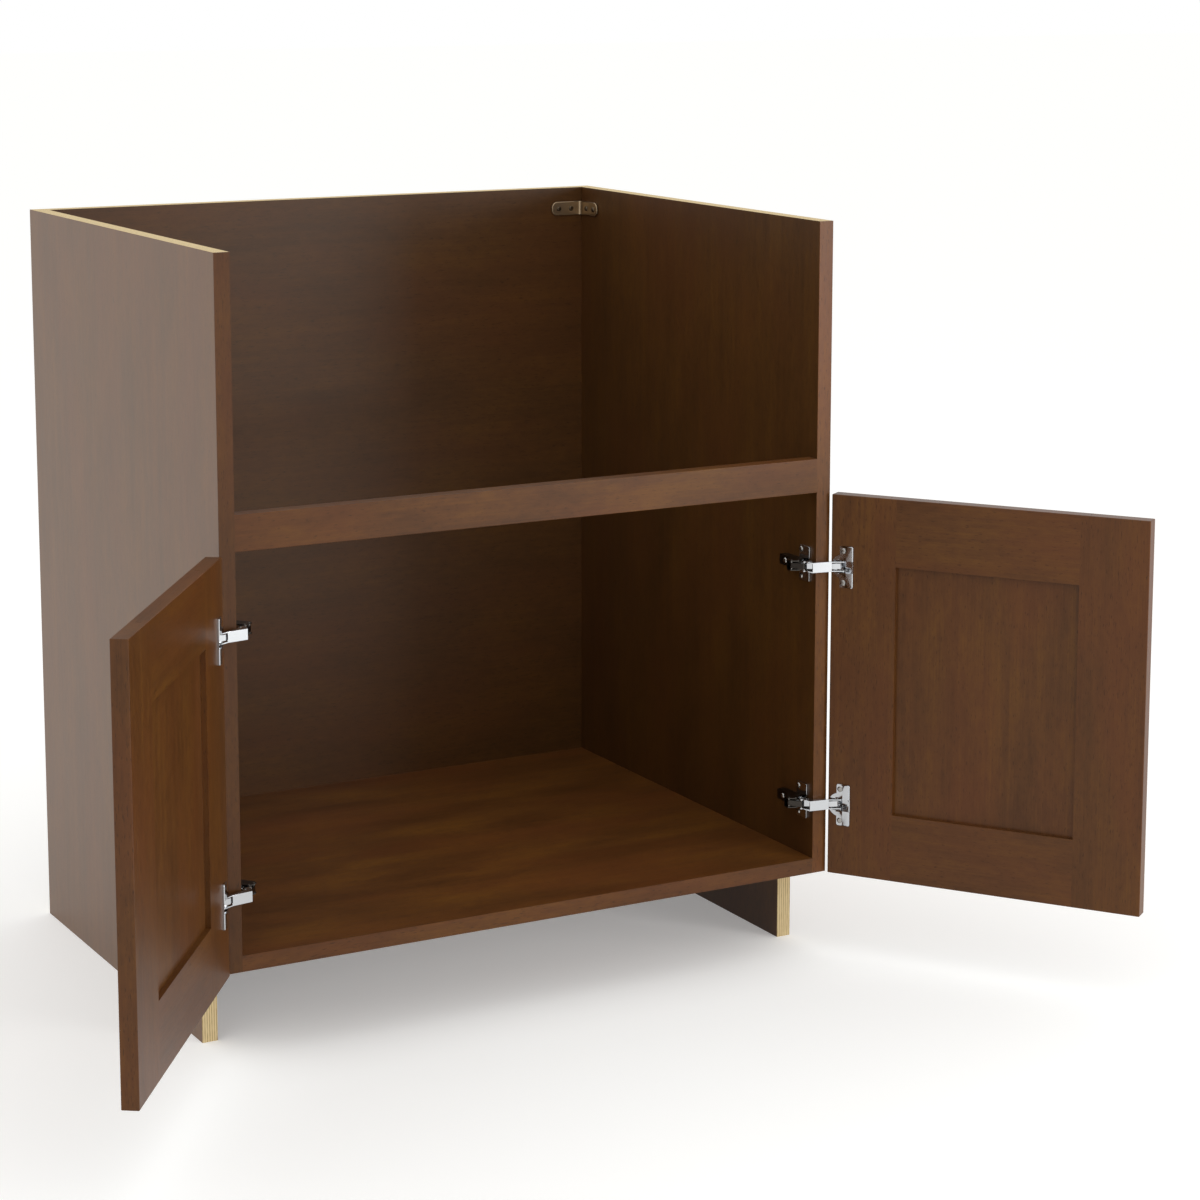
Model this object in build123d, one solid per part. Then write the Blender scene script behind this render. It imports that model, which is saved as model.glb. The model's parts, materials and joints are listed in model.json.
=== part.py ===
from build123d import *
from math import radians, tan
import os

# Sink base cabinet for an apron-front sink, with both doors standing open.
#
# A frameless plywood box: two sides, a deck, a full-height back and a low apron rail under the open
# sink bay.  Two five-piece doors hang on link hinges.  X is the width, the front looks along -Y and
# Z is up.  Everything is drawn for the right-hand side with the carcass front at Y = 0, and the
# left side is its mirror image.  At the end all pieces move together, so that the origin lies on
# the floor below the middle of the whole object.

# ---- carcass ------------------------------------------------------------------------------
cabinet_width = 762.0        # outside of side to outside of side
cabinet_height = 876.3       # floor to the raw top edges, under the worktop
carcass_depth = 588.0        # front of the edge bands to the back
board = 18.0                 # plywood of sides, deck, back and rail
edge_band = 1.0              # stained strip glued to a front edge
toe_height = 101.6           # floor to the underside of the deck
toe_recess = 76.2            # how far the legs stand back
dado_depth = 6.0             # how far deck and back are let into the sides
dado_setback = 20.0          # stopped front end of the dado
rail_height = 40.0
rail_top = 600.0             # floor to the top of the apron rail
rail_round = 0.8             # broken corners along the rail
dowel_radius = 4.0
dowel_length = 40.0
dowel_in_side = 11.0
dowel_spacing = 20.0
dowel_play = 0.05

# ---- doors --------------------------------------------------------------------------------
door_board = 18.0
side_reveal = 1.0            # side panel that shows beside a closed door
door_gap = 2.0               # closed door to carcass front
rail_gap = 2.0               # top of the door to the underside of the rail
meeting_gap = 2.0            # between the two closed doors
stile_width = 80.0
door_rail_width = 80.0
infill = 6.0                 # thickness of the flat middle panel, and width of its groove
groove_depth = 10.0
groove_play = 0.5            # left free at the bottom of a groove or hole
door_round = 1.0             # rounded outer edges of the frame
door_opening = 125.0         # degrees from closed to the pose shown
open_shift_out = 0.2         # move of the hinge corner from closed to open, sideways
open_shift_front = 4.0       # and forwards

# ---- hinge cup, let into the door ---------------------------------------------------------
hinge_inset = 85.0           # door end to the middle of a hinge
cup_centre = 14.8            # door edge to the middle of the cup
cup_radius = 13.0
cup_depth = 10.6
cup_play = 0.1               # around the cup in its bore
cup_floor = 1.2
cavity_radius = 11.7
cavity_height = 14.4         # of the slot that takes the links
flange_thickness = 1.0
flange_radius = 14.2         # round part, towards the door edge
flange_near = 11.0           # long plate of the flange, from the door edge
flange_far = 28.0
flange_length = 50.0
flange_corner = 2.0
ridge_near = 19.0            # thick far part of the flange, clear of the side when closed
ridge_thickness = 2.8
ridge_at_mouth = 1.8         # what is left of it beyond the mouth, under the closed links
mouth_far = 26.6             # far end of the mouth in the flange
collar_thickness = 0.4       # raised rim round the mouth
collar_near = 9.5
collar_height = 17.4
lip_cut = 0.5                # near wall of the cavity, lowered to let the links out
cup_screw_spacing = 38.0
cup_screw_from_edge = 15.2

# ---- hinge links --------------------------------------------------------------------------
main_pin_from_edge = 14.5    # pin of the outer link in the cup
main_pin_depth = 2.3
inner_pin_from_edge = 10.0   # pin of the inner link in the cup
inner_pin_depth = 3.1
link_reach = 38.0            # pin to pin along the outer and the inner link
link_tilt = 30.0             # slope of that line in plan, falling towards the front
guide_offset = 8.0           # pin to pin across the nose of the arm
guide_angle = 153.5
pin_radius = 1.1
pin_play = 0.12              # keeps the flats of a pin clear of its eye, however it is turned
pin_head = 0.4               # length that a riveted pin stands proud
pin_sides = 8                # flats of a pin and its hole: few, because pins repeat
pin_in_cup = 1.8             # length of a pin in the wall of the cup
eye_radius = 1.9
outer_eye_radius = 2.2
eye_sides = 10               # flats round a whole eye
sheet = 1.2                  # steel of the outer link, the swing link and the arm
link_height = 12.0           # outer link and arm, top to bottom
level_gap = 0.2              # between links that pass over each other
bar_start_beyond = 4.0       # front face of the outer link: its end past the arm-side pin
bar_start_front = 8.0        # and how far that end stands in front of the carcass
bar_slope = 9.0
bar_end_before_pin = 13.0    # where the front face stops short of the cup pin
tongue_front = 1.7           # half widths of the outer link where it dips into the cup
tongue_back = 1.1
inner_half_width = 1.0
edge_clearance = 1.2         # links to the front edge of the side panel

# ---- hinge arm and mounting plate ---------------------------------------------------------
nose_radius = 3.0
arm_back = 58.0              # rear end of the arm behind the carcass front
arm_web_start = 5.0          # front end of the arm's web behind its guide pin
arm_flat_front = 36.0        # where the sloping web meets the plate core
arm_screw_setback = 46.0
plate_front = 11.0           # wings of the mounting plate behind the carcass front
plate_depth = 21.0
plate_height = 42.0
plate_corner = 2.0
plate_thickness = 2.5
core_front = 22.0            # raised core of the plate, under the arm
core_back = 56.0
core_height = 12.0           # side panel to the top of the core
plate_screw_spacing = 32.0
plate_screw_setback = 28.0

# ---- screws and corner brackets -----------------------------------------------------------
screw_radius = 1.8
screw_play = 0.05
screw_length = 13.0
head_radius = 3.4
head_height = 1.6
head_taper = 25.0            # degrees by which a head narrows outwards
screw_sides = 8              # flats of a screw and its hole: few, because screws repeat
cup_head_height = 0.7        # thin heads that clear the side panel behind a closed door
bracket_height = 18.0
bracket_leg = 45.0
bracket_sheet = 2.5
bracket_bend = 5.0           # bend radius along the middle of the sheet
bracket_end_round = 8.0
bracket_below_top = 18.0
bracket_first_hole = 17.0    # holes along each leg, from the corner
bracket_second_hole = 35.0

# ---- worked out from the above ------------------------------------------------------------
half_width = cabinet_width / 2
side_inner = half_width - board
deck_top = toe_height + board
back_front = carcass_depth - board
tongue_reach = side_inner + dado_depth
rail_bottom = rail_top - rail_height
dowel_heights = [rail_top - (rail_height + offset) / 2 for offset in (-dowel_spacing, dowel_spacing)]

door_bottom = toe_height
door_top = rail_bottom - rail_gap
door_width = half_width - side_reveal - meeting_gap / 2
hinge_heights = [door_bottom + hinge_inset, door_top - hinge_inset]
groove_low = (door_board - infill) / 2
groove_high = groove_low + infill

# heights of the link levels above the middle of a hinge
outer_level = (link_height / 2 - sheet, link_height / 2)
middle_level = (outer_level[0] - level_gap - sheet, outer_level[0] - level_gap)
inner_top = middle_level[0] - level_gap
cavity_side = cavity_height / 2

bracket_bottom = cabinet_height - bracket_below_top - bracket_height
core_top_x = side_inner - core_height
wing_x = side_inner - plate_thickness

closed_corner = Vector(half_width - side_reveal, -door_gap)
open_corner = closed_corner + Vector(open_shift_out, -open_shift_front)
along_door = Vector(-1, 0).rotate(Axis.Z, door_opening)
out_of_door = Vector(0, -1).rotate(Axis.Z, door_opening)


def rotation_centre():
    """The one fixed point of the turn that takes the closed hinge corner to the open one."""
    chord = open_corner - closed_corner
    middle = (closed_corner + open_corner) / 2
    return middle + chord.rotate(Axis.Z, 90) / (2 * tan(radians(door_opening / 2)))


def on_door(from_edge, depth):
    """Plan point of the open door: distance from its hinge edge, depth below its inner face."""
    return open_corner + along_door * from_edge + out_of_door * depth


# Plan positions of the seven pins and of the point that the door turns about.  The links are two
# parallelograms on one swing link: the outer link never turns, and the cup turns with the swing
# link, so the door swings about a point in front of the side panel that carries no pin.
door_pivot = rotation_centre()
link_line = Vector(-1, 0).rotate(Axis.Z, -link_tilt) * link_reach
guide_line = Vector(1, 0).rotate(Axis.Z, guide_angle) * guide_offset
cup_main = on_door(main_pin_from_edge, main_pin_depth)
cup_inner = on_door(inner_pin_from_edge, inner_pin_depth)
link_main = cup_main + link_line
link_inner = cup_inner + link_line
link_guide = link_main + guide_line
arm_main = door_pivot + link_line
arm_guide = arm_main + guide_line

door_place = Plane(origin=open_corner, x_dir=along_door, z_dir=(0, 0, 1))
door_tip_y = on_door(door_width, 0).Y
centre_y = (carcass_depth + door_tip_y) / 2


# ---- shapes that several pieces share -----------------------------------------------------
def block(x0, x1, y0, y1, z0, z1):
    """Box between two corners."""
    return Pos((x0 + x1) / 2, (y0 + y1) / 2, (z0 + z1) / 2) * Box(x1 - x0, y1 - y0, z1 - z0)


def upright(point, radius, z0, z1):
    """Vertical pin on a plan point, between two heights."""
    return extrude(Pos(point.X, point.Y, z0) * RegularPolygon(radius, pin_sides), z1 - z0)


def lying(start, direction, radius, length):
    """Cylinder that starts at a point and runs along a direction."""
    return extrude(Plane(origin=start, z_dir=direction) * Circle(radius), length)


def shank(start, direction, radius, length, taper=0):
    """Screw body, head or screw hole, which starts at a point and runs along a direction."""
    outline = Plane(origin=start, z_dir=direction) * RegularPolygon(radius, screw_sides)
    return extrude(outline, length, taper=taper)


def screw_hole(start, direction):
    """Hole that a wood screw fills."""
    return shank(start, direction, screw_radius + screw_play, screw_length)


def screw(start, direction, height=head_height):
    """Wood screw whose head bears on the start point."""
    head = shank(start, -Vector(direction), head_radius, height, taper=head_taper)
    return head + shank(start, direction, screw_radius, screw_length)


def eye(point, radius):
    """Plan outline of the round end of a link, with few flats because links repeat."""
    return Pos(point) * RegularPolygon(radius, eye_sides)


def bar(start, end, radius, end_radius=None):
    """Plan outline of a link between two eyes."""
    eyes = eye(start, radius), eye(end, end_radius or radius)
    return make_hull([edge for outline in eyes for edge in outline.edges()])


def cheeks(outline, level):
    """Two plates of one outline, above and below the middle."""
    upper = extrude(Pos(0, 0, level[0]) * outline, level[1] - level[0])
    return upper + mirror(upper, Plane.XY)


def bored(shape, points, radius=pin_radius + pin_play):
    """The shape with a vertical hole at each plan point."""
    for point in points:
        shape -= upright(point, radius, -link_height, link_height)
    return shape


def at_hinges(*shapes):
    """Copies of the pieces at the height of both hinges of a door."""
    return [Pos(0, 0, height) * solid
            for height in hinge_heights for shape in shapes for solid in shape.solids()]


# ---- carcass ------------------------------------------------------------------------------
def side_panel():
    """Side board: toe notch, stopped dado for the deck, rabbet for the back and all its holes."""
    side = block(side_inner, half_width, edge_band, carcass_depth, 0, cabinet_height)
    side -= block(side_inner, half_width, 0, toe_recess, 0, toe_height)
    side -= block(side_inner, tongue_reach, dado_setback, back_front, toe_height, deck_top)
    side -= block(side_inner, tongue_reach, back_front, carcass_depth, toe_height, cabinet_height)
    for height in dowel_heights:
        side -= lying((side_inner, board / 2, height), (1, 0, 0),
                      dowel_radius + dowel_play, dowel_in_side + groove_play)
    for start, direction in plate_screws() + bracket_side_screws():
        side -= screw_hole((side_inner, start[1], start[2]), direction)
    return [side]


def side_edge_band():
    """Stained strip on the front edge of the side, above the toe notch."""
    return [block(side_inner, half_width, 0, edge_band, toe_height, cabinet_height)]


def deck_panel():
    """Deck board with a tongue along each end that stops short of the front."""
    deck = block(-side_inner, side_inner, edge_band, back_front, toe_height, deck_top)
    return [deck + block(-tongue_reach, tongue_reach, dado_setback, back_front,
                         toe_height, deck_top)]


def deck_edge_band():
    """Stained strip on the front edge of the deck."""
    return [block(-side_inner, side_inner, 0, edge_band, toe_height, deck_top)]


def back_panel():
    """Back board in the rabbets of the sides, from the underside of the deck to the top."""
    back = block(-tongue_reach, tongue_reach, back_front, carcass_depth,
                 toe_height, cabinet_height)
    for start, direction in bracket_back_screws():
        for flip in (1, -1):
            back -= screw_hole((flip * start[0], back_front, start[2]), direction)
    return [back]


def apron_rail():
    """Low rail under the sink bay, flush with the front and doweled between the sides."""
    rail = block(-side_inner, side_inner, 0, board, rail_bottom, rail_top)
    rail = fillet(rail.edges().filter_by(Axis.X), rail_round)
    for height in dowel_heights:
        for flip in (1, -1):
            rail -= lying((flip * side_inner, board / 2, height), (-flip, 0, 0),
                          dowel_radius + dowel_play, dowel_length - dowel_in_side + groove_play)
    return [rail]


def rail_dowels():
    """Two wooden dowels at the end of the rail, each partly in the side."""
    return [lying((side_inner + dowel_in_side, board / 2, height), (-1, 0, 0),
                  dowel_radius, dowel_length) for height in dowel_heights]


# ---- corner bracket -----------------------------------------------------------------------
def bracket_side_screws():
    """Screws of the leg on the side panel: bearing point and direction."""
    height = bracket_bottom + bracket_height / 2
    return [((side_inner - bracket_sheet, back_front - reach, height), (1, 0, 0))
            for reach in (bracket_first_hole, bracket_second_hole)]


def bracket_back_screws():
    """Screws of the leg on the back panel: bearing point and direction."""
    height = bracket_bottom + bracket_height / 2
    return [((side_inner - reach, back_front - bracket_sheet, height), (0, 1, 0))
            for reach in (bracket_first_hole, bracket_second_hole)]


def corner_bracket():
    """Bent steel strap with round ends, screwed into the rear top corner."""
    wall_x, wall_y = side_inner - bracket_sheet / 2, back_front - bracket_sheet / 2
    path = FilletPolyline((wall_x, back_front - bracket_leg), (wall_x, wall_y),
                          (side_inner - bracket_leg, wall_y), radius=bracket_bend)
    strap = extrude(Pos(0, 0, bracket_bottom) * trace(path, bracket_sheet), bracket_height)
    for across, along in ((Axis.X, Axis.Y), (Axis.Y, Axis.X)):
        strap = fillet(strap.edges().filter_by(across).group_by(along)[0], bracket_end_round)
    for start, direction in bracket_side_screws() + bracket_back_screws():
        strap -= screw_hole(start, direction)
    return [strap]


def bracket_screws():
    """Four round-headed screws that hold the bracket."""
    return [screw(*place) for place in bracket_side_screws() + bracket_back_screws()]


# ---- door: five pieces, drawn from the hinge edge along X, inner face at Y = 0 ------------
def stile(hinge_side):
    """Upright of the door frame; the one at the hinges has the cup bores."""
    post = block(0, stile_width, 0, door_board, door_bottom, door_top)
    post = fillet(post.edges().filter_by(lambda edge: edge.center().X < stile_width - door_round),
                  door_round)
    post -= block(stile_width - groove_depth, stile_width, groove_low, groove_high,
                  door_bottom, door_top)
    if not hinge_side:
        return [Pos(door_width, 0, 0) * mirror(post, Plane.YZ)]
    for height in hinge_heights:
        post -= lying((cup_centre, 0, height), (0, 1, 0), cup_radius, cup_depth + groove_play)
        for start, direction in cup_screws_at(height):
            post -= screw_hole((start[0], 0, start[2]), direction)
    return [post]


def cross_rail(at_top):
    """Cross piece of the door frame, with stub tenons in the grooves of the stiles."""
    low = door_top - door_rail_width if at_top else door_bottom
    high = low + door_rail_width
    rail = block(stile_width, door_width - stile_width, 0, door_board, low, high)
    lengthwise = rail.edges().filter_by(Axis.X).sort_by(Axis.Z)
    rail = fillet(lengthwise[-2:] if at_top else lengthwise[:2], door_round)
    tenon = groove_depth - groove_play
    rail += block(stile_width - tenon, door_width - stile_width + tenon,
                  groove_low, groove_high, low, high)
    groove = (low, low + groove_depth) if at_top else (high - groove_depth, high)
    return [rail - block(0, door_width, groove_low, groove_high, *groove)]


def infill_panel():
    """Flat panel that floats in the grooves of the frame."""
    tongue = groove_depth - groove_play
    return [block(stile_width - tongue, door_width - stile_width + tongue, groove_low, groove_high,
                  door_bottom + door_rail_width - tongue, door_top - door_rail_width + tongue)]


# ---- hinge cup, drawn like the door -------------------------------------------------------
def cup_screws_at(height):
    """Screws of the flange at one hinge: bearing point and direction."""
    return [((cup_screw_from_edge, -flange_thickness, height + side * cup_screw_spacing / 2),
             (0, 1, 0)) for side in (1, -1)]


def hinge_cup():
    """Pressed cup: round body, long flange, and a slot-shaped cavity that takes the links."""
    face = Plane(origin=(0, 0, 0), x_dir=(1, 0, 0), z_dir=(0, -1, 0))
    long_plate = Pos((flange_near + flange_far) / 2, 0) * RectangleRounded(
        flange_far - flange_near, flange_length, flange_corner)
    round_part = Pos(cup_centre, 0) * Circle(flange_radius)
    round_part -= Pos(flange_far + flange_radius, 0) * Rectangle(2 * flange_radius, flange_length)
    cup = extrude(face * (long_plate + round_part), flange_thickness)
    cup += lying((cup_centre, 0, 0), (0, 1, 0), cup_radius - cup_play, cup_depth)
    ridge = long_plate - Pos(ridge_near - flange_length, 0) * Rectangle(
        2 * flange_length, 2 * flange_length)
    cup += extrude(face * ridge, ridge_thickness)
    cup += block(collar_near, flange_far, -flange_thickness - collar_thickness, 0,
                 -collar_height / 2, collar_height / 2)
    cavity = Pos(cup_centre, 0) * Circle(cavity_radius)
    cavity &= Pos(cup_centre, 0) * Rectangle(2 * cavity_radius, cavity_height)
    cup -= extrude(face * cavity, -(cup_depth - cup_floor))
    cup -= block(0, mouth_far, -ridge_thickness, 0, -cavity_side, cavity_side)
    cup -= block(0, flange_far, -ridge_thickness, -ridge_at_mouth, -cavity_side, cavity_side)
    cup -= block(0, cup_centre - cavity_radius / 2, 0, lip_cut, -cavity_side, cavity_side)
    for from_edge, depth in ((main_pin_from_edge, main_pin_depth),
                             (inner_pin_from_edge, inner_pin_depth)):
        cup -= upright(Vector(from_edge, depth), pin_radius + pin_play,
                       -cavity_side - pin_in_cup, cavity_side + pin_in_cup)
    for start, direction in cup_screws_at(0):
        cup -= screw_hole(start, direction)
    return cup


def cup_pins():
    """Pins of the cup: one across the cavity for the inner link, two stubs for the outer."""
    end = cavity_side + pin_in_cup
    across = upright(Vector(inner_pin_from_edge, inner_pin_depth), pin_radius, -end, end)
    main_pin = Vector(main_pin_from_edge, main_pin_depth)
    stub = upright(main_pin, pin_radius, middle_level[1], end)
    return across, stub, mirror(stub, Plane.XY)


def cup_screws():
    """Two flat-headed screws through the flange of each cup."""
    return [screw(*place, cup_head_height)
            for height in hinge_heights for place in cup_screws_at(height)]


def in_door(shapes):
    """Door pieces moved to the open door."""
    return [door_place.location * solid for shape in shapes for solid in shape.solids()]


# ---- hinge links, drawn in plan with the middle of the hinge at Z = 0 ---------------------
def outer_link():
    """The bright bar in view: a channel whose two cheeks reach from the arm into the cup."""
    start = Vector(link_main.X - bar_start_beyond, -bar_start_front)
    end_x = cup_main.X - bar_end_before_pin
    end = Vector(end_x, start.Y - (end_x - start.X) * tan(radians(bar_slope)))
    to_back = Vector(0, 1).rotate(Axis.Z, -link_tilt)
    tip_front, tip_back = cup_main - to_back * tongue_front, cup_main + to_back * tongue_back
    waist = tip_back + link_line.normalized() * bar_end_before_pin
    shoulder = Vector(side_inner - edge_clearance, -edge_clearance)
    outline = make_face(Polyline(start, end, tip_front, tip_back, waist, shoulder,
                                 link_main, link_guide, close=True))
    outline += bar(link_main, link_guide, outer_eye_radius)
    outline += bar(link_main, link_main + (shoulder - link_main) / 2, outer_eye_radius,
                   outer_eye_radius / 2)
    outline += eye(cup_main, outer_eye_radius)
    link = cheeks(outline, outer_level)
    inward = Vector(0, sheet)
    face = make_face(Polyline(start, end, end + inward, start + inward, close=True))
    link += extrude(Pos(0, 0, -outer_level[0]) * face, 2 * outer_level[0])
    return bored(link, (cup_main, link_main, link_guide))


def inner_link():
    """Hooked link inside the channel, bent round the front edge of the side panel."""
    stops = [link_inner,
             Vector(side_inner - 2 * edge_clearance - inner_half_width / 2, inner_half_width),
             Vector(side_inner - edge_clearance / 2, -inner_half_width - edge_clearance),
             Vector(side_inner + board / 2, -inner_half_width - 3 * edge_clearance),
             on_door(cup_centre - cup_radius, 0) - Vector(edge_clearance, 3 * inner_half_width),
             cup_inner]
    radii = [eye_radius] + [inner_half_width] * (len(stops) - 2) + [eye_radius]
    outline = Sketch()
    for near, far, near_radius, far_radius in zip(stops, stops[1:], radii, radii[1:]):
        outline += bar(near, far, near_radius, far_radius)
    link = extrude(Pos(0, 0, -inner_top) * outline, 2 * inner_top)
    return bored(link, (link_inner, cup_inner))


def swing_link():
    """Pair of plates that turn with the door and carry the outer and the inner link."""
    outline = bar(arm_main, link_inner, eye_radius) + bar(link_inner, link_main, eye_radius)
    return bored(cheeks(outline, middle_level), (arm_main, link_main, link_inner))


def guide_link():
    """Short block beside the swing link that keeps the outer link from turning."""
    link = extrude(Pos(0, 0, -inner_top) * bar(arm_guide, link_guide, eye_radius), 2 * inner_top)
    return bored(link, (arm_guide, link_guide))


def full_pin(point, end):
    """Riveted pin right through a hinge."""
    return upright(point, pin_radius, -end, end)


def swing_pins():
    """Pins that ride on the swing link: two stubs to the outer link, one to the inner."""
    stub = upright(link_main, pin_radius, middle_level[0], outer_level[1] + pin_head)
    return stub, mirror(stub, Plane.XY), full_pin(link_inner, middle_level[1])


# ---- hinge arm and mounting plate ---------------------------------------------------------
def plate_screws():
    """Screws of both mounting plates of one side: bearing point and direction."""
    return [((wing_x, plate_screw_setback, height + side * plate_screw_spacing / 2), (1, 0, 0))
            for height in hinge_heights for side in (1, -1)]


def arm_screw_at():
    """Bearing point and direction of the screw that holds the arm on its plate."""
    return (core_top_x - sheet, arm_screw_setback, 0), (1, 0, 0)


def mounting_plate():
    """Cross-shaped plate on the side panel with a raised core for the arm."""
    flat = Plane(origin=(side_inner, plate_front + plate_depth / 2, 0), x_dir=(0, 1, 0),
                 z_dir=(-1, 0, 0))
    plate = extrude(flat * RectangleRounded(plate_depth, plate_height, plate_corner),
                    plate_thickness)
    core_side = middle_level[1]
    plate += block(core_top_x, side_inner, core_front, core_back, -core_side, core_side)
    for side in (1, -1):
        plate -= screw_hole((wing_x, plate_screw_setback, side * plate_screw_spacing / 2),
                            (1, 0, 0))
    start, direction = arm_screw_at()
    return plate - shank(start, direction, screw_radius + screw_play, core_height - sheet)


def hinge_arm():
    """Steel channel that straddles the plate core and holds two pins in its nose."""
    left = arm_guide.X - nose_radius
    knee = Vector(left, arm_guide.Y + arm_web_start)
    flat_start = Vector(core_top_x - sheet, arm_flat_front)
    flat_end = Vector(core_top_x - sheet, arm_back)
    foot = wing_x - level_gap
    outline = make_face(Polyline(Vector(left, arm_guide.Y), knee, flat_start, flat_end,
                                 Vector(foot, arm_back), Vector(foot, core_front),
                                 arm_main + Vector(nose_radius, 0), arm_main, close=True))
    outline += bar(arm_guide, arm_main, nose_radius)
    arm = cheeks(outline, outer_level)
    inward = Vector(sheet, 0)
    web = make_face(Polyline(knee, flat_start, flat_end, flat_end + inward, flat_start + inward,
                             knee + inward, close=True))
    arm += extrude(Pos(0, 0, -outer_level[0]) * web, 2 * outer_level[0])
    start, direction = arm_screw_at()
    arm -= shank(start, direction, screw_radius + screw_play, sheet)
    return bored(arm, (arm_main, arm_guide))


def arm_screw():
    """Machine screw through the arm into the core of the plate."""
    start, direction = arm_screw_at()
    head = shank(start, -Vector(direction), head_radius, head_height, taper=head_taper)
    return head + shank(start, direction, screw_radius, core_height - sheet - groove_play)


# ---- the whole cabinet --------------------------------------------------------------------
def handed_pieces():
    """Every piece of the right-hand side that the left-hand side mirrors, by name."""
    rivet_end = outer_level[1] + pin_head
    return {
        "side_panel": side_panel(),
        "side_edge_band": side_edge_band(),
        "rail_dowels": rail_dowels(),
        "corner_bracket": corner_bracket(),
        "bracket_screws": bracket_screws(),
        "door_hinge_stile": in_door(stile(hinge_side=True)),
        "door_meeting_stile": in_door(stile(hinge_side=False)),
        "door_top_rail": in_door(cross_rail(at_top=True)),
        "door_bottom_rail": in_door(cross_rail(at_top=False)),
        "door_panel": in_door(infill_panel()),
        "hinge_cups": in_door(at_hinges(hinge_cup())),
        "hinge_cup_pins": in_door(at_hinges(*cup_pins())),
        "hinge_cup_screws": in_door(cup_screws()),
        "hinge_outer_links": at_hinges(outer_link()),
        "hinge_inner_links": at_hinges(inner_link()),
        "hinge_swing_links": at_hinges(swing_link()),
        "hinge_swing_pins": at_hinges(*swing_pins()),
        "hinge_guide_links": at_hinges(guide_link()),
        "hinge_guide_pins": at_hinges(full_pin(link_guide, rivet_end)),
        "hinge_arms": at_hinges(hinge_arm()),
        "hinge_arm_pins": at_hinges(full_pin(arm_main, rivet_end), full_pin(arm_guide, rivet_end)),
        "hinge_arm_screws": at_hinges(arm_screw()),
        "mounting_plates": at_hinges(mounting_plate()),
        "mounting_plate_screws": [screw(*place) for place in plate_screws()],
    }


def all_pieces():
    """Every node of the cabinet as a list of solids, still with the carcass front at Y = 0."""
    pieces = {"deck_panel": deck_panel(), "deck_edge_band": deck_edge_band(),
              "back_panel": back_panel(), "apron_rail": apron_rail()}
    for name, solids in handed_pieces().items():
        pieces[name + "_right"] = solids
        pieces[name + "_left"] = [mirror(solid, Plane.YZ) for solid in solids]
    return pieces


def main():
    """Write one file per node, moved to the origin under the middle of the object."""
    os.makedirs("parts", exist_ok=True)
    for name, solids in all_pieces().items():
        moved = [Pos(0, -centre_y, 0) * solid for solid in solids]
        node = moved[0] if len(moved) == 1 else Compound(children=moved)
        export_step(node, f"parts/{name}.step")


if __name__ == "__main__":
    main()
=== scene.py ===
import bmesh
import bpy
import json
from math import cos, radians, sin
from mathutils import Matrix, Vector


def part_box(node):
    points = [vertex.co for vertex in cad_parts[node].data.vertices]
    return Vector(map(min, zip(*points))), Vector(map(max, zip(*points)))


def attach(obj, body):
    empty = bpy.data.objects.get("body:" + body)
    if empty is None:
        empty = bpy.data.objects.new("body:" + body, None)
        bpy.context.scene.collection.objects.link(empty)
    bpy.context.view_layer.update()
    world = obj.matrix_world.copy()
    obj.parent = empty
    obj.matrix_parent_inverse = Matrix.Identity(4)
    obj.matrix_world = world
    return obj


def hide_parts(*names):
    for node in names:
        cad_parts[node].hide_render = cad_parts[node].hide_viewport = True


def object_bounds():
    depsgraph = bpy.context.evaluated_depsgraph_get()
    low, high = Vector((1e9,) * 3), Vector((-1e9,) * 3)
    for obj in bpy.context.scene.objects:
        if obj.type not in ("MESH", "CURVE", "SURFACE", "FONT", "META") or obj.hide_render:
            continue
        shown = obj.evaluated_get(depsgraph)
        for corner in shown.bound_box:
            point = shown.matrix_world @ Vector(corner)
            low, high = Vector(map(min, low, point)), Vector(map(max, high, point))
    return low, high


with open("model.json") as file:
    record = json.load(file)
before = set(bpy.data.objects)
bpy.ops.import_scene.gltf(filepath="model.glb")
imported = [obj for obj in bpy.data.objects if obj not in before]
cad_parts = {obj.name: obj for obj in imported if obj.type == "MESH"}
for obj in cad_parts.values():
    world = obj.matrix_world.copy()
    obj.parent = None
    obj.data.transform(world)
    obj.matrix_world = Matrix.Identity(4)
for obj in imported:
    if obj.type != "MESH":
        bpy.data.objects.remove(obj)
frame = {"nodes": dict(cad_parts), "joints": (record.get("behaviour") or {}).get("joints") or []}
cad_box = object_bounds()

# ---- Studio ---------------------------------------------------------------------------------
# A pale floor under a plain white sky, with a soft lamp low on the right, a broad one overhead and
# a weak one behind on the left.  The camera stands where the photograph's camera stood.  A part of
# its downward view is lens shift, because the uprights are nearly parallel in the photograph.
white, floor_white = "#FFFFFF", "#F4F4F2"
lens_mm, sensor_mm = 90.1, 36
camera_place = (-1.527, -3.019, 1.187)
camera_heading, camera_pitch = 28.72, 8.95       # degrees to the right, and down
camera_shift = (0.0142, -0.15)
sky_level = 0.84                                 # light that the sky throws on the object
sky_shown = 1.0                                  # what the camera and every reflection see of the sky
floor_reach = 30.0                               # half the width of the floor
floor_glow = 0.24                                # what they see on top of the floor's own light
lamps = {"right": ((1.9, -2.6, 0.9), 1.0, 28),   # place, width in metres, watts
         "top": ((0.0, -0.5, 3.6), 2.6, 11),
         "rear": ((-2.8, 1.8, 1.9), 2.2, 7)}


def linear(hex_colour):
    """Turn an sRGB hex value into the linear colour that shaders and lamps take."""
    parts = [int(hex_colour[i:i + 2], 16) / 255 for i in (1, 3, 5)]
    return [p / 12.92 if p <= 0.04045 else ((p + 0.055) / 1.055) ** 2.4 for p in parts] + [1.0]


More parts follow.
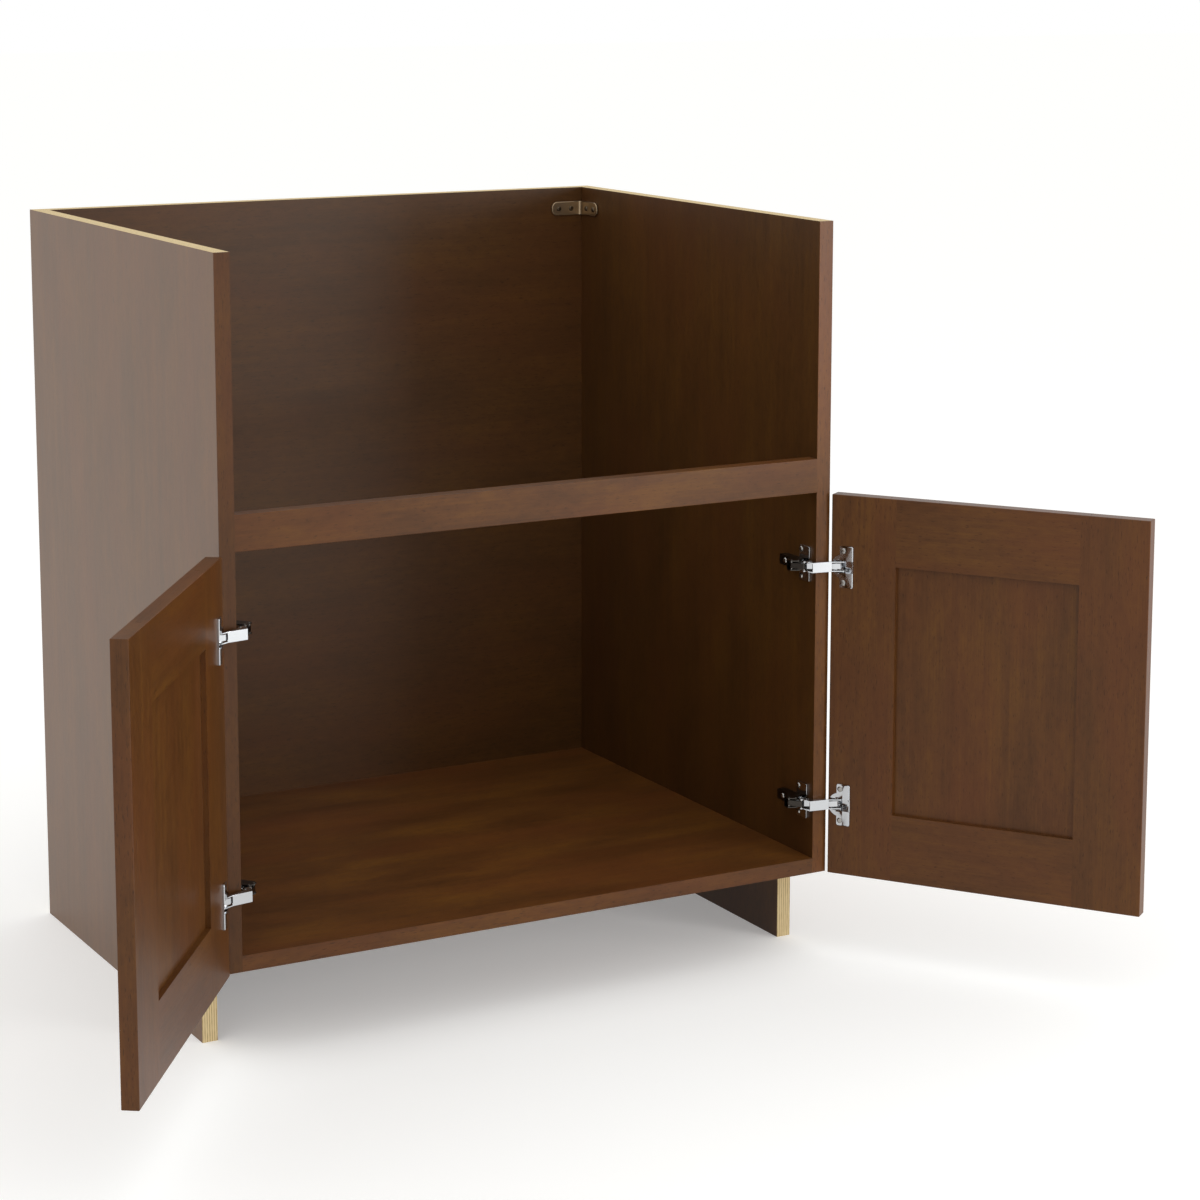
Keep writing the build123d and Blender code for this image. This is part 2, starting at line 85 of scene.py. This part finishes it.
def add_node(tree, kind, inputs=None, **settings):
    """Add a node, set its properties, and fill its inputs with values or with other sockets."""
    made = tree.nodes.new(kind)
    for name, value in settings.items():
        setattr(made, name, value)
    for key, value in (inputs or {}).items():
        if isinstance(value, bpy.types.NodeSocket):
            tree.links.new(value, made.inputs[key])
        else:
            made.inputs[key].default_value = value
    return made


scene = bpy.context.scene
scene.view_settings.view_transform = "Standard"
camera = bpy.data.objects.new("camera", bpy.data.cameras.new("camera"))
camera.data.lens = lens_mm
camera.data.sensor_width = sensor_mm
camera.data.shift_x, camera.data.shift_y = camera_shift
camera.location = camera_place
camera.rotation_euler = (radians(90 - camera_pitch), 0, radians(-camera_heading))
scene.collection.objects.link(camera)
scene.camera = camera

aim = (cad_box[0] + cad_box[1]) / 2
for name, (place, size, watts) in lamps.items():
    lamp = bpy.data.lights.new(name, "AREA")
    lamp.size, lamp.energy = size, watts
    holder = bpy.data.objects.new(name, lamp)
    holder.location = place
    holder.visible_camera = False
    holder.rotation_euler = (aim - Vector(place)).to_track_quat("-Z", "Y").to_euler()
    scene.collection.objects.link(holder)

world = bpy.data.worlds.new("white_sky")
world.use_nodes = True
sky = world.node_tree
sky.nodes.clear()
path = add_node(sky, "ShaderNodeLightPath")
seen = add_node(sky, "ShaderNodeMath", {0: path.outputs["Is Camera Ray"], 1: path.outputs["Is Glossy Ray"]},
                operation="MAXIMUM")
seen = add_node(sky, "ShaderNodeMath", {0: seen.outputs[0], 1: path.outputs["Is Transmission Ray"]},
                operation="MAXIMUM")
lit = add_node(sky, "ShaderNodeBackground", {"Color": linear(white), "Strength": sky_level})
shown = add_node(sky, "ShaderNodeBackground", {"Color": linear(white), "Strength": sky_shown})
both = add_node(sky, "ShaderNodeMixShader", {0: seen.outputs[0], 1: lit.outputs[0], 2: shown.outputs[0]})
add_node(sky, "ShaderNodeOutputWorld", {"Surface": both.outputs[0]})
scene.world = world

paint = bpy.data.materials.new("pale_studio_floor")
paint.use_nodes = True
tree = paint.node_tree
tree.nodes.clear()
matt = add_node(tree, "ShaderNodeBsdfDiffuse", {"Color": linear(floor_white)})
path = add_node(tree, "ShaderNodeLightPath")
seen = add_node(tree, "ShaderNodeMath", {0: path.outputs["Is Camera Ray"], 1: path.outputs["Is Glossy Ray"]},
                operation="MAXIMUM")
level = add_node(tree, "ShaderNodeMath", {0: seen.outputs[0], 1: floor_glow}, operation="MULTIPLY")
glow = add_node(tree, "ShaderNodeEmission", {"Color": linear(white), "Strength": level.outputs[0]})
both = add_node(tree, "ShaderNodeAddShader", {0: matt.outputs[0], 1: glow.outputs[0]})
add_node(tree, "ShaderNodeOutputMaterial", {"Surface": both.outputs[0]})
mesh = bmesh.new()
bmesh.ops.create_grid(mesh, x_segments=1, y_segments=1, size=floor_reach)
floor = bpy.data.objects.new("studio_floor", bpy.data.meshes.new("studio_floor"))
mesh.to_mesh(floor.data)
mesh.free()
floor.data.materials.append(paint)
scene.collection.objects.link(floor)

# ---- Side boards ----------------------------------------------------------------------------
# Each side is one plywood board, faced with maple veneer that is stained brown and lacquered, with
# the grain upright.  Its upper edge, its leg and its rear edge are left raw and show the plies.
X, Y, Z = 0, 1, 2
SIDES = ("left", "right")
stain_dark, stain_mid, stain_light = "#462910", "#593617", "#6C4519"
stain_stops = (0.32, 0.50, 0.70)                 # tones at which the three stains are pure
stain_red, pore_brown = "#64361A", "#2A1708"
painted_shade_brown, painted_sheen_grey = "#362611", "#9A8470"   # painted shade that the inner faces lean to, and painted sheen that the outer faces lean to
painted_shade_lean, painted_sheen_lean = 0.42, 0.28              # and how far
ply_pale, ply_brown, glue_brown = "#E3CE9F", "#A27C48", "#6E4F2A"
ply_stops = (0.45, 0.62, 0.80)                   # pale ply up to here, glue line, brown ply from here
plies = 13                                       # layers in a board of 18 mm
ply_wander = 0.0016                              # how far a ply strays from its place, in metres
raw_roughness = 0.8
edge_facing = 0.5                                # a face that looks less along the axis is a raw edge
lacquer_roughness, glossier, duller = 0.36, 0.05, 0.07
lacquer_ior = 1.32
grain_relief, grain_depth = 0.06, 0.0004
wood_fields = {"cloud": (150, 55, 3),            # length and width of the features in mm, and detail
               "band": (420, 14, 3),
               "streak": (70, 1.8, 3),
               "mottle": (16, 6, 2),
               "pore": (8, 1.2, 1),              # coarser than real pores, which would not show
               "blush": (240, 80, 2)}
field_roughness = 0.55
tone_shares = {"band": 0.26, "streak": 0.20, "mottle": 0.22}
base_tone = 0.16                                 # brings the middle of the tone to the middle stain
blush_from, blush_to, blush_share = 0.42, 0.68, 0.38
pore_from, pore_to, pore_share = 0.63, 0.74, 0.60
drift = (1.0, 0.37, 0.71)                        # the way in which shift moves a board's pattern


def across(along, length, width):
    """Scale of a pattern whose features are length long on one axis and width wide, in mm."""
    return [1000 / (length if axis == along else width) for axis in (X, Y, Z)]


def stained_maple(name, along, turn=0.0, shift=0.0, painted_lift=1.0, clouds=0.32, raw_edge=None, inner=0):
    """Maple or maple veneer, sprayed with brown stain and satin lacquer.  The stain takes unevenly,
    so the eye sees soft clouds, fine darker streaks along the grain and short dark pores.
    The grain runs along one axis, turned by some degrees, and shift gives each board its own place
    in the pattern.  painted_lift makes a board lighter or darker than the next as painted light, for
    the light and sheen that some boards catch more than others, and clouds is how strong its clouds
    are: wide veneer shows more than solid sticks.
    raw_edge = (axis, low, high) leaves the faces beside that axis as bare, layered plywood.
    inner = 1 or -1 says which way on that axis is into the cabinet.  There the colour is painted
    darker and less red as painted shade, and outside it is painted hazier and greyer as a painted sheen."""
    made = bpy.data.materials.new(name)
    made.use_nodes = True
    tree = made.node_tree
    shader = tree.nodes["Principled BSDF"]
    shader.inputs["IOR"].default_value = lacquer_ior
    place = add_node(tree, "ShaderNodeTexCoord")
    turned = add_node(tree, "ShaderNodeMapping", {
        "Vector": place.outputs["Object"],
        "Rotation": (0, 0, radians(turn)),
        "Location": [part * shift for part in drift]})
    fields = {}
    for field, (length, width, detail) in wood_fields.items():
        sized = add_node(tree, "ShaderNodeMapping", {
            "Vector": turned.outputs[0], "Scale": across(along, length, width)})
        fields[field] = add_node(tree, "ShaderNodeTexNoise", {
            "Vector": sized.outputs[0], "Scale": 1.0, "Detail": detail,
            "Roughness": field_roughness}).outputs["Fac"]
    tone = add_node(tree, "ShaderNodeMath", {0: fields["cloud"], 1: clouds, 2: base_tone - clouds / 2},
                    operation="MULTIPLY_ADD")
    for field, share in tone_shares.items():
        tone = add_node(tree, "ShaderNodeMath", {0: fields[field], 1: share, 2: tone.outputs[0]},
                        operation="MULTIPLY_ADD")
    ramp = add_node(tree, "ShaderNodeValToRGB", {"Fac": tone.outputs[0]})
    stains = ramp.color_ramp.elements
    stains[0].position, stains[1].position = stain_stops[0], stain_stops[2]
    stains[0].color, stains[1].color = linear(stain_dark), linear(stain_light)
    stains.new(stain_stops[1]).color = linear(stain_mid)
    redness = add_node(tree, "ShaderNodeMapRange", {
        "Value": fields["blush"], "From Min": blush_from, "From Max": blush_to, "To Max": blush_share})
    colour = add_node(tree, "ShaderNodeMix", {
        "Factor": redness.outputs[0], "A": ramp.outputs[0], "B": linear(stain_red)}, data_type="RGBA")
    depth = add_node(tree, "ShaderNodeMapRange", {
        "Value": fields["pore"], "From Min": pore_from, "From Max": pore_to, "To Max": pore_share})
    colour = add_node(tree, "ShaderNodeMix", {
        "Factor": depth.outputs[0], "A": colour.outputs[2], "B": linear(pore_brown)}, data_type="RGBA")
    colour = add_node(tree, "ShaderNodeHueSaturation", {"Value": painted_lift, "Color": colour.outputs[2]})
    sheen = add_node(tree, "ShaderNodeMapRange", {
        "Value": fields["streak"], "To Min": lacquer_roughness - glossier,
        "To Max": lacquer_roughness + duller})
    grain = add_node(tree, "ShaderNodeBump", {
        "Height": fields["streak"], "Strength": grain_relief, "Distance": grain_depth})
    colour, roughness = colour.outputs[0], sheen.outputs[0]
    if raw_edge:
        axis, low, high = raw_edge
        split = add_node(tree, "ShaderNodeSeparateXYZ", {0: place.outputs["Object"]})
        wander = add_node(tree, "ShaderNodeMath", {0: fields["cloud"], 1: ply_wander, 2: split.outputs[axis]},
                          operation="MULTIPLY_ADD")
        layer = add_node(tree, "ShaderNodeMapRange", {
            "Value": wander.outputs[0], "From Min": low, "From Max": high, "To Max": plies}, clamp=False)
        stripe = add_node(tree, "ShaderNodeMath", {0: layer.outputs[0], 1: 1.0}, operation="PINGPONG")
        ply = add_node(tree, "ShaderNodeValToRGB", {"Fac": stripe.outputs[0]})
        layers = ply.color_ramp.elements
        layers[0].position, layers[1].position = ply_stops[0], ply_stops[2]
        layers[0].color, layers[1].color = linear(ply_pale), linear(ply_brown)
        layers.new(ply_stops[1]).color = linear(glue_brown)
        fibre = add_node(tree, "ShaderNodeMix", {
            "Factor": fields["pore"], "A": ply.outputs[0], "B": linear(ply_pale)}, data_type="RGBA")
        facing = add_node(tree, "ShaderNodeSeparateXYZ", {0: place.outputs["Normal"]})
        # painted shade on the faces inside the cabinet, then a painted sheen on the faces outside it
        for lean, painted_tone in ((painted_shade_lean * inner, painted_shade_brown), (-painted_sheen_lean * inner, painted_sheen_grey)):
            painted_share = add_node(tree, "ShaderNodeMath", {0: facing.outputs[axis], 1: lean},
                               operation="MULTIPLY", use_clamp=True)
            colour = add_node(tree, "ShaderNodeMix", {
                "Factor": painted_share.outputs[0], "A": colour, "B": linear(painted_tone)}, data_type="RGBA").outputs[2]
        flat = add_node(tree, "ShaderNodeMath", {0: facing.outputs[axis]}, operation="ABSOLUTE")
        bare = add_node(tree, "ShaderNodeMath", {0: flat.outputs[0], 1: edge_facing}, operation="LESS_THAN")
        colour = add_node(tree, "ShaderNodeMix", {
            "Factor": bare.outputs[0], "A": colour, "B": fibre.outputs[2]}, data_type="RGBA").outputs[2]
        roughness = add_node(tree, "ShaderNodeMix", {
            "Factor": bare.outputs[0], "A": roughness, "B": raw_roughness}, data_type="FLOAT").outputs[0]
    tree.links.new(colour, shader.inputs["Base Color"])
    tree.links.new(roughness, shader.inputs["Roughness"])
    tree.links.new(grain.outputs[0], shader.inputs["Normal"])
    return made


def finish_node(node, material):
    """Give one CAD node one material."""
    slots = frame["nodes"][node].data.materials
    slots.clear()
    slots.append(material)


for number, side in enumerate(SIDES):
    low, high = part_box(f"side_panel_{side}")
    # the inner faces get painted shade and the outer faces a painted grey sheen
    board = stained_maple(f"stained_maple_plywood_side_{side}", Z, shift=1.7 * number, clouds=0.48,
                          raw_edge=(X, low.x, high.x), inner=1 - 2 * number)
    finish_node(f"side_panel_{side}", board)

# ---- Deck and back --------------------------------------------------------------------------
# The deck and the back are boards of the same stained plywood, with the grain from side to side.
# Only the back's upper edge is seen raw: the deck's ends and rear edge sit in the other boards.
low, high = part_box("deck_panel")
# the deck is painted lighter, standing in for the light that falls on it from above
board = stained_maple("stained_maple_plywood_deck", X, shift=4.1, painted_lift=1.16, clouds=0.60,
                      raw_edge=(Z, low.z, high.z))
finish_node("deck_panel", board)
low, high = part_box("back_panel")
# the back's face inside the cabinet gets painted shade
board = stained_maple("stained_maple_plywood_back", X, shift=6.3, clouds=0.42,
                      raw_edge=(Y, low.y, high.y), inner=-1)
finish_node("back_panel", board)

# ---- Edge bands and apron rail --------------------------------------------------------------
# Strips of solid maple, 1 mm thick, cover the front edges of the sides and the deck.  The rail
# under the sink bay is a solid maple stick with broken corners, doweled between the sides.  The
# left side's strip is painted darker as shade, and the right side's lighter as a painted sheen.
for number, side in enumerate(SIDES):
    # painted shade on the left strip and a painted sheen on the right one
    strip = stained_maple(f"stained_maple_band_{side}", Z, shift=8.2 + number, painted_lift=0.80 + 0.50 * number)
    finish_node(f"side_edge_band_{side}", strip)
    finish_node(f"rail_dowels_{side}", stained_maple(f"maple_dowel_{side}", X, shift=9.5))
finish_node("deck_edge_band", stained_maple("stained_maple_band_deck", X, shift=10.4))
finish_node("apron_rail", stained_maple("stained_maple_rail", X, shift=11.9, clouds=0.55))

# ---- Doors ----------------------------------------------------------------------------------
# Each door is a frame of two upright stiles and two cross rails in solid maple, around a thin
# veneered panel.  The grain follows each piece, so the joints show where it changes direction.
# The doors stand open, and their pattern is turned to lie along them.
door_pieces = {"hinge_stile": Z, "meeting_stile": Z, "top_rail": X, "bottom_rail": X, "panel": Z}
for number, side in enumerate(SIDES):
    hinge = next(joint for joint in frame["joints"] if joint["name"] == f"door_hinge_{side}")
    turn = (180 + hinge["range_deg"][0]) * hinge["axis"][Z]
    for step, (piece, along) in enumerate(door_pieces.items()):
        board = stained_maple(f"stained_maple_{piece}_{side}", along, turn=turn,
                              shift=13.3 + 5 * number + 0.83 * step)
        finish_node(f"door_{piece}_{side}", board)

# ---- Link hinges ----------------------------------------------------------------------------
# The cups, links, arms and plates are pressed from steel sheet.  What shows is nickel plated and
# polished; the arms, swing links and guide links are zinc plated, which is darker and duller.  The
# cup, the bright link and the plate get rolled edges here, which catch the light as thin lines.
nickel_grey, zinc_grey, screw_grey = "#C6C8CB", "#46423E", "#A3A09C"
plating_cloud = 6.25                             # mm from cloud to cloud in the gloss of a plating
plating_wave, wave_depth = 0.05, 0.0003
brighter, dimmer = 0.05, 0.06                    # how far its roughness goes down and up
hinge_levels = (0.1866, 0.4730)                  # heights of the middle of the hinges
door_corner = Vector((0.3802, -0.14177, 0))      # hinge edge of the open right door, inner face
door_opening = 125                               # degrees
flange_thin, flange_thick = 0.0010, 0.0028       # how proud its parts stand of the door
flange_ridge = (0.0195, 0.0075)                  # the thick part starts: from the door's edge, and the middle
cup_screw_place = (0.0152, 0.019)                # from the door's hinge edge, and from the hinge's middle
plate_face = 0.3605                              # how far the mounting plates' faces are from the middle
plate_screw_place = (-0.10777, 0.016)            # front to back, and from the hinge's middle
arm_screw_place = (0.3498, -0.08977)             # from the cabinet's middle, and front to back
head_radius, head_height = 0.0034, 0.0016
cup_head_height = 0.0007                         # thin heads, to clear the side board of a closed door
screw_length, arm_screw_length = 0.012, 0.0095
screw_margin = 0.0035                            # edges as near as this to a screw stay sharp
cup_roll, link_roll, plate_roll = 0.0012, 0.0004, 0.0013
link_edge = 0.006                                # shorter edges of a link stay sharp
touching = 0.00005                               # how near a point lies to a face that it is on
weld = 0.000005                                  # points nearer than this are one point
smooth_angle = 50                                # faces that meet at less than this are shaded as one
dome_rings = ((0.10, 0.55), (0.14, 0.25), (0.16, 0.20))   # share of radius inwards, of height up
shank_rings = ((0.53, 0.0), (1.0, 0.8), (0.1, 0.2))       # width after width, share of length down
recess_reach, recess_arm, recess_taper, recess_depth = 0.44, 0.13, 0.8, 0.75


def plated_steel(name, colour, roughness):
    """Pressed steel with a thin bright plating.  Faint clouds in its gloss and a slight wave break
    up the reflections, as on any stamped sheet."""
    made = bpy.data.materials.new(name)
    made.use_nodes = True
    tree = made.node_tree
    shader = tree.nodes["Principled BSDF"]
    shader.inputs["Metallic"].default_value = 1.0
    shader.inputs["Base Color"].default_value = linear(colour)
    place = add_node(tree, "ShaderNodeTexCoord")
    cloud = add_node(tree, "ShaderNodeTexNoise", {
        "Vector": place.outputs["Object"], "Scale": 1000 / plating_cloud, "Detail": 3.0})
    gloss = add_node(tree, "ShaderNodeMapRange", {
        "Value": cloud.outputs["Fac"], "To Min": roughness - brighter, "To Max": roughness + dimmer})
    wave = add_node(tree, "ShaderNodeBump", {
        "Height": cloud.outputs["Fac"], "Strength": plating_wave, "Distance": wave_depth})
    tree.links.new(gloss.outputs[0], shader.inputs["Roughness"])
    tree.links.new(wave.outputs[0], shader.inputs["Normal"])
    return made


def merged_copy(node):
    """Bmesh of a CAD node with its loose triangles joined into whole faces."""
    shape = bmesh.new()
    shape.from_mesh(frame["nodes"][node].data)
    bmesh.ops.remove_doubles(shape, verts=shape.verts, dist=weld)
    bmesh.ops.dissolve_limit(shape, angle_limit=radians(1), verts=shape.verts, edges=shape.edges)
    return shape


def sharp_edges(shape, degrees):
    """Edges at which a shape turns by more than some degrees."""
    return [edge for edge in shape.edges
            if len(edge.link_faces) == 2 and edge.calc_face_angle() > radians(degrees)]


def roll_edges(shape, edges, radius):
    """Round some edges of a shape."""
    bmesh.ops.bevel(shape, geom=edges, offset=radius, segments=3, profile=0.5, affect="EDGES",
                    clamp_overlap=True, material=-1)


def new_piece(name, shape, material, body, node):
    """Turn a bmesh into a piece that rides on a body and stands for a CAD node."""
    piece = bpy.data.objects.new(name, bpy.data.meshes.new(name))
    bmesh.ops.recalc_face_normals(shape, faces=shape.faces)
    shape.to_mesh(piece.data)
    shape.free()
    piece.data.materials.append(material)
    for face in piece.data.polygons:
        face.use_smooth = True
    piece.data.set_sharp_from_angle(angle=radians(smooth_angle))
    flat = piece.modifiers.new("flat_faces_stay_flat", "WEIGHTED_NORMAL")
    flat.mode, flat.keep_sharp = "FACE_AREA", True
    scene.collection.objects.link(piece)
    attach(piece, body)
    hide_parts(node)


def add_screw(shape, place, direction, height, length):
    """Add a screw with a domed head and a cross recess.  Its head bears at the place, and its
    shank runs along the direction."""
    screw = bmesh.new()
    bmesh.ops.create_circle(screw, cap_ends=True, radius=head_radius, segments=24)
    crown = screw.faces[:][0]
    if crown.normal.z < 0:
        bmesh.ops.reverse_faces(screw, faces=[crown])
    for inset, rise in dome_rings:
        bmesh.ops.inset_individual(screw, faces=[crown], thickness=inset * head_radius, depth=rise * height,
                                   use_even_offset=True)
    ring = bmesh.ops.inset_individual(screw, faces=[crown], thickness=recess_reach * head_radius,
                                      use_even_offset=True)["faces"]
    arms = []
    for face in ring:
        middle = face.calc_center_median()
        if min(abs(middle.x), abs(middle.y)) < recess_arm * head_radius:
            arms.append(face)
    recess = bmesh.ops.extrude_face_region(screw, geom=arms + [crown])["geom"]
    sunk = [part for part in recess if isinstance(part, bmesh.types.BMVert)]
    bmesh.ops.scale(screw, vec=(recess_taper, recess_taper, 1.0), verts=sunk)
    bmesh.ops.translate(screw, vec=(0, 0, -recess_depth * height), verts=sunk)
    rim = [edge for edge in screw.edges if len(edge.link_faces) == 1]
    for share, drop in shank_rings:
        moved = bmesh.ops.extrude_edge_only(screw, edges=rim)["geom"]
        ends = [part for part in moved if isinstance(part, bmesh.types.BMVert)]
        rim = [part for part in moved if isinstance(part, bmesh.types.BMEdge)]
        bmesh.ops.scale(screw, vec=(share, share, 1.0), verts=ends)
        bmesh.ops.translate(screw, vec=(0, 0, -drop * length), verts=ends)
    bmesh.ops.holes_fill(screw, edges=rim)
    turn = (-Vector(direction)).to_track_quat("Z", "Y").to_matrix().to_4x4()
    bmesh.ops.transform(screw, matrix=Matrix.Translation(place) @ turn, verts=screw.verts)
    bmesh.ops.recalc_face_normals(screw, faces=screw.faces)
    loose = bpy.data.meshes.new("screw")
    screw.to_mesh(loose)
    screw.free()
    shape.from_mesh(loose)
    bpy.data.meshes.remove(loose)


nickel = plated_steel("nickel_plated_steel", nickel_grey, 0.12)
zinc = plated_steel("zinc_plated_steel", zinc_grey, 0.30)
screw_metal = plated_steel("nickel_plated_screw", screw_grey, 0.22)
lean = radians(door_opening - 90)                # how far the open doors lean outwards
for side, flip in (("left", -1), ("right", 1)):
    into_door = Vector((flip * cos(lean), sin(lean), 0))
    along_door = Vector((flip * sin(lean), -cos(lean), 0))
    corner = Vector((flip * door_corner.x, door_corner.y, 0))

    cup = merged_copy(f"hinge_cups_{side}")
    ridge = []
    for edge in sharp_edges(cup, 30):
        middle = (edge.verts[0].co + edge.verts[1].co) / 2
        off_centre = min(abs(middle.z - level) for level in hinge_levels)
        from_edge = (middle - corner).dot(along_door)
        lifted = all(abs((vert.co - corner).dot(into_door) + flange_thick) < touching for vert in edge.verts)
        if lifted and from_edge > flange_ridge[0] and off_centre > flange_ridge[1]:
            ridge.append(edge)
    roll_edges(cup, ridge, cup_roll)
    new_piece(f"polished_hinge_cups_{side}", cup, nickel, f"door_{side}",
              f"hinge_cups_{side}")

    link = merged_copy(f"hinge_outer_links_{side}")
    long_edges = [edge for edge in sharp_edges(link, 60) if edge.calc_length() > link_edge]
    roll_edges(link, long_edges, link_roll)
    new_piece(f"bright_hinge_links_{side}", link, nickel, f"outer_links_{side}",
              f"hinge_outer_links_{side}")

    plate = merged_copy(f"mounting_plates_{side}")
    screw_places = [Vector((flip * plate_face, plate_screw_place[0], level + offset * plate_screw_place[1]))
                    for level in hinge_levels for offset in (-1, 1)]
    outline = [edge for edge in sharp_edges(plate, 60)
               if all(abs(abs(vert.co.x) - plate_face) < touching for vert in edge.verts)
               and min((edge.verts[0].co - place).length for place in screw_places) > screw_margin]
    roll_edges(plate, outline, plate_roll)
    new_piece(f"rolled_mounting_plates_{side}", plate, nickel, "carcass",
              f"mounting_plates_{side}")

    door_screws, wall_screws, arm_screws = bmesh.new(), bmesh.new(), bmesh.new()
    for level in hinge_levels:
        for offset in (-1, 1):
            on_flange = (corner + along_door * cup_screw_place[0] - into_door * flange_thin
                         + Vector((0, 0, level + offset * cup_screw_place[1])))
            add_screw(door_screws, on_flange, into_door, cup_head_height, screw_length)
        on_arm = Vector((flip * arm_screw_place[0], arm_screw_place[1], level))
        add_screw(arm_screws, on_arm, (flip, 0, 0), head_height, arm_screw_length)
    for place in screw_places:
        add_screw(wall_screws, place, (flip, 0, 0), head_height, screw_length)
    for name, screws, body, node in (("cup", door_screws, f"door_{side}", "hinge_cup_screws"),
                                     ("plate", wall_screws, "carcass", "mounting_plate_screws"),
                                     ("arm", arm_screws, "carcass", "hinge_arm_screws")):
        new_piece(f"cross_head_{name}_screws_{side}", screws, screw_metal, body,
                  f"{node}_{side}")
    finish_node(f"hinge_inner_links_{side}", nickel)
    for piece in ("hinge_swing_links", "hinge_guide_links", "hinge_arms"):
        finish_node(f"{piece}_{side}", zinc)
    for piece in ("hinge_cup_pins", "hinge_swing_pins", "hinge_guide_pins", "hinge_arm_pins"):
        finish_node(f"{piece}_{side}", screw_metal)

# ---- Corner brackets ------------------------------------------------------------------------
# A bent steel strap with round ends ties each side to the back.  It is lacquered in antique bronze,
# its rolled edges catch the light as thin lines, and four darker cross-head screws hold it.
bronze_brown, dark_bronze_brown = "#9D886D", "#54483A"
bracket_level = 0.8493                           # height of the middle of the strap
side_leg_screws = ((0.3605, 0.41723), (0.3605, 0.39923))   # from the cabinet's middle, front to back
back_leg_screws = ((0.3460, 0.43173), (0.3280, 0.43173))
strap_faces = (0.3606, 0.4318)                   # just behind the faces of its legs that are in sight
strap_roll = 0.0010
bronze = plated_steel("antique_bronze_lacquer_on_steel", bronze_brown, 0.33)
dark_bronze = plated_steel("dark_bronze_screw", dark_bronze_brown, 0.30)
for side, flip in (("left", -1), ("right", 1)):
    legs = ((side_leg_screws, (flip, 0, 0)), (back_leg_screws, (0, 1, 0)))
    screw_places = [(Vector((flip * out, back, bracket_level)), direction)
                    for places, direction in legs for out, back in places]
    strap = merged_copy(f"corner_bracket_{side}")
    outline = [edge for edge in sharp_edges(strap, 60)
               if all(abs(vert.co.x) < strap_faces[0] and vert.co.y < strap_faces[1] for vert in edge.verts)
               and min((edge.verts[0].co - place).length for place, direction in screw_places) > screw_margin]
    roll_edges(strap, outline, strap_roll)
    new_piece(f"rubbed_corner_bracket_{side}", strap, bronze, "carcass",
              f"corner_bracket_{side}")
    strap_screws = bmesh.new()
    for place, direction in screw_places:
        add_screw(strap_screws, place, direction, head_height, screw_length)
    new_piece(f"cross_head_bracket_screws_{side}", strap_screws, dark_bronze, "carcass",
              f"bracket_screws_{side}")
